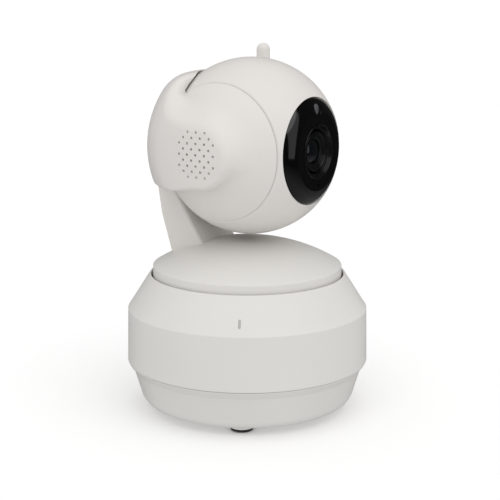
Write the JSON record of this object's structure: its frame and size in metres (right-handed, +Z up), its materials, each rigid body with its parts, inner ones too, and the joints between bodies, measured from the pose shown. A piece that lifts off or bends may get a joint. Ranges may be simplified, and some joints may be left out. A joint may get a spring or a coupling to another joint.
{
  "type": "baby monitor camera",
  "caption": "Pan and tilt baby monitor camera: round base, domed turntable, yoke with round ears and a ball head with a black lens face.",
  "frame": {"origin": "centre of the base on the surface it stands on, under the pan axis", "axes": "+Z up along the pan axis; the lens looks along -Y at rest; the speaker ear is on -X and the antenna on +X; the base's own front with the status light is 60 degrees from the lens, towards -X"},
  "size_m": [0.086, 0.086, 0.1274],
  "materials": {
    "white_shell": "satin warm white moulded plastic",
    "antenna_plastic": "satin warm white plastic",
    "black_gloss": "polished infrared-passing black",
    "black_ring": "satin black",
    "sensor_window": "smoked clear plastic",
    "lens_glass": "coated glass",
    "clear_pipe": "clear light pipe",
    "rubber": "matt soft rubber",
    "steel": "zinc plated steel",
    "motor": "nickel plated can",
    "board": "green solder mask on glass fibre laminate",
    "black_part": "black moulding",
    "connector": "natural nylon",
    "inner_plastic": "unpainted moulded plastic",
    "button": "grey moulded plastic",
    "microphone": "small electret can"
  },
  "bodies": {
    "base": {"base_lower_shell": "white_shell", "base_screws": "steel", "base_upper_shell": "white_shell", "base_weight": "steel", "board_capacitors": "black_part", "board_connectors": "connector", "card_reader": "steel", "inner_screws": "steel", "main_board": "board", "pairing_switch": "black_part", "pan_chassis": "inner_plastic", "pan_motor": "motor", "power_socket": "steel", "processor_shield": "steel", "rubber_feet": "rubber", "status_led": "clear_pipe", "status_light_pipe": "clear_pipe", "thrust_washer": "connector", "wireless_module": "board"},
    "pan_pinion_body": {"pan_pinion": "connector", "pan_motor_shaft": "steel"},
    "button": {"pairing_button": "button"},
    "turntable": {"turntable_cover": "white_shell", "turntable_plate": "inner_plastic", "spindle_clip": "steel", "pan_gear": "connector", "turntable_screws": "steel", "neck_bracket": "steel", "yoke_right_shell": "white_shell", "yoke_left_shell": "white_shell", "right_bearing_plate": "inner_plastic", "left_bearing_plate": "inner_plastic", "ear_screws": "steel", "speaker_frame": "black_part", "speaker_magnet": "motor", "speaker_cone": "black_part", "tilt_motor": "motor", "antenna_pin": "steel"},
    "head": {"sensor_window": "sensor_window", "head_front_shell": "white_shell", "head_rear_shell": "white_shell", "face_cover": "black_gloss", "lens_ring": "black_ring", "lens_barrel": "black_ring", "lens_glass": "lens_glass", "rear_lens": "lens_glass", "lens_holder": "black_part", "image_sensor": "black_part", "image_board": "board", "camera_bracket": "inner_plastic", "bracket_screws": "steel", "infrared_board": "board", "infrared_leds": "clear_pipe", "light_sensor": "black_part", "microphone": "microphone", "wire_trunnion": "connector", "drive_trunnion": "connector", "tilt_shaft": "steel"},
    "antenna_body": {"antenna": "antenna_plastic"}
  },
  "joints": [
    {"name": "pan", "type": "hinge", "parent": "base", "child": "turntable", "pos_m": [0, 0, 0.0435], "axis": [0, 0, 1], "range_deg": [-235, 115]},
    {"name": "pan_pinion_spin", "type": "hinge", "parent": "base", "child": "pan_pinion_body", "pos_m": [0.02144, -0.00575, 0.0402], "axis": [0, 0, 1], "range_deg": [-493, 1008]},
    {"name": "pairing_button_press", "type": "slide", "parent": "base", "child": "button", "axis": [-0.5592, -0.829, 0], "range_m": [0, 0.0006], "stiffness_N_per_m": 700},
    {"name": "tilt", "type": "hinge", "parent": "turntable", "child": "head", "pos_m": [0, -0.0017, 0.0944], "axis": [-1, 0, 0], "range_deg": [-30, 90]},
    {"name": "antenna_fold", "type": "hinge", "parent": "turntable", "child": "antenna_body", "pos_m": [0.0352, 0.0163, 0.0844], "axis": [-1, 0, 0], "range_deg": [0, 90]}
  ],
  "couplings": [
    {"joint": "pan_pinion_spin", "follows": "pan", "ratio": -4.2857}
  ]
}
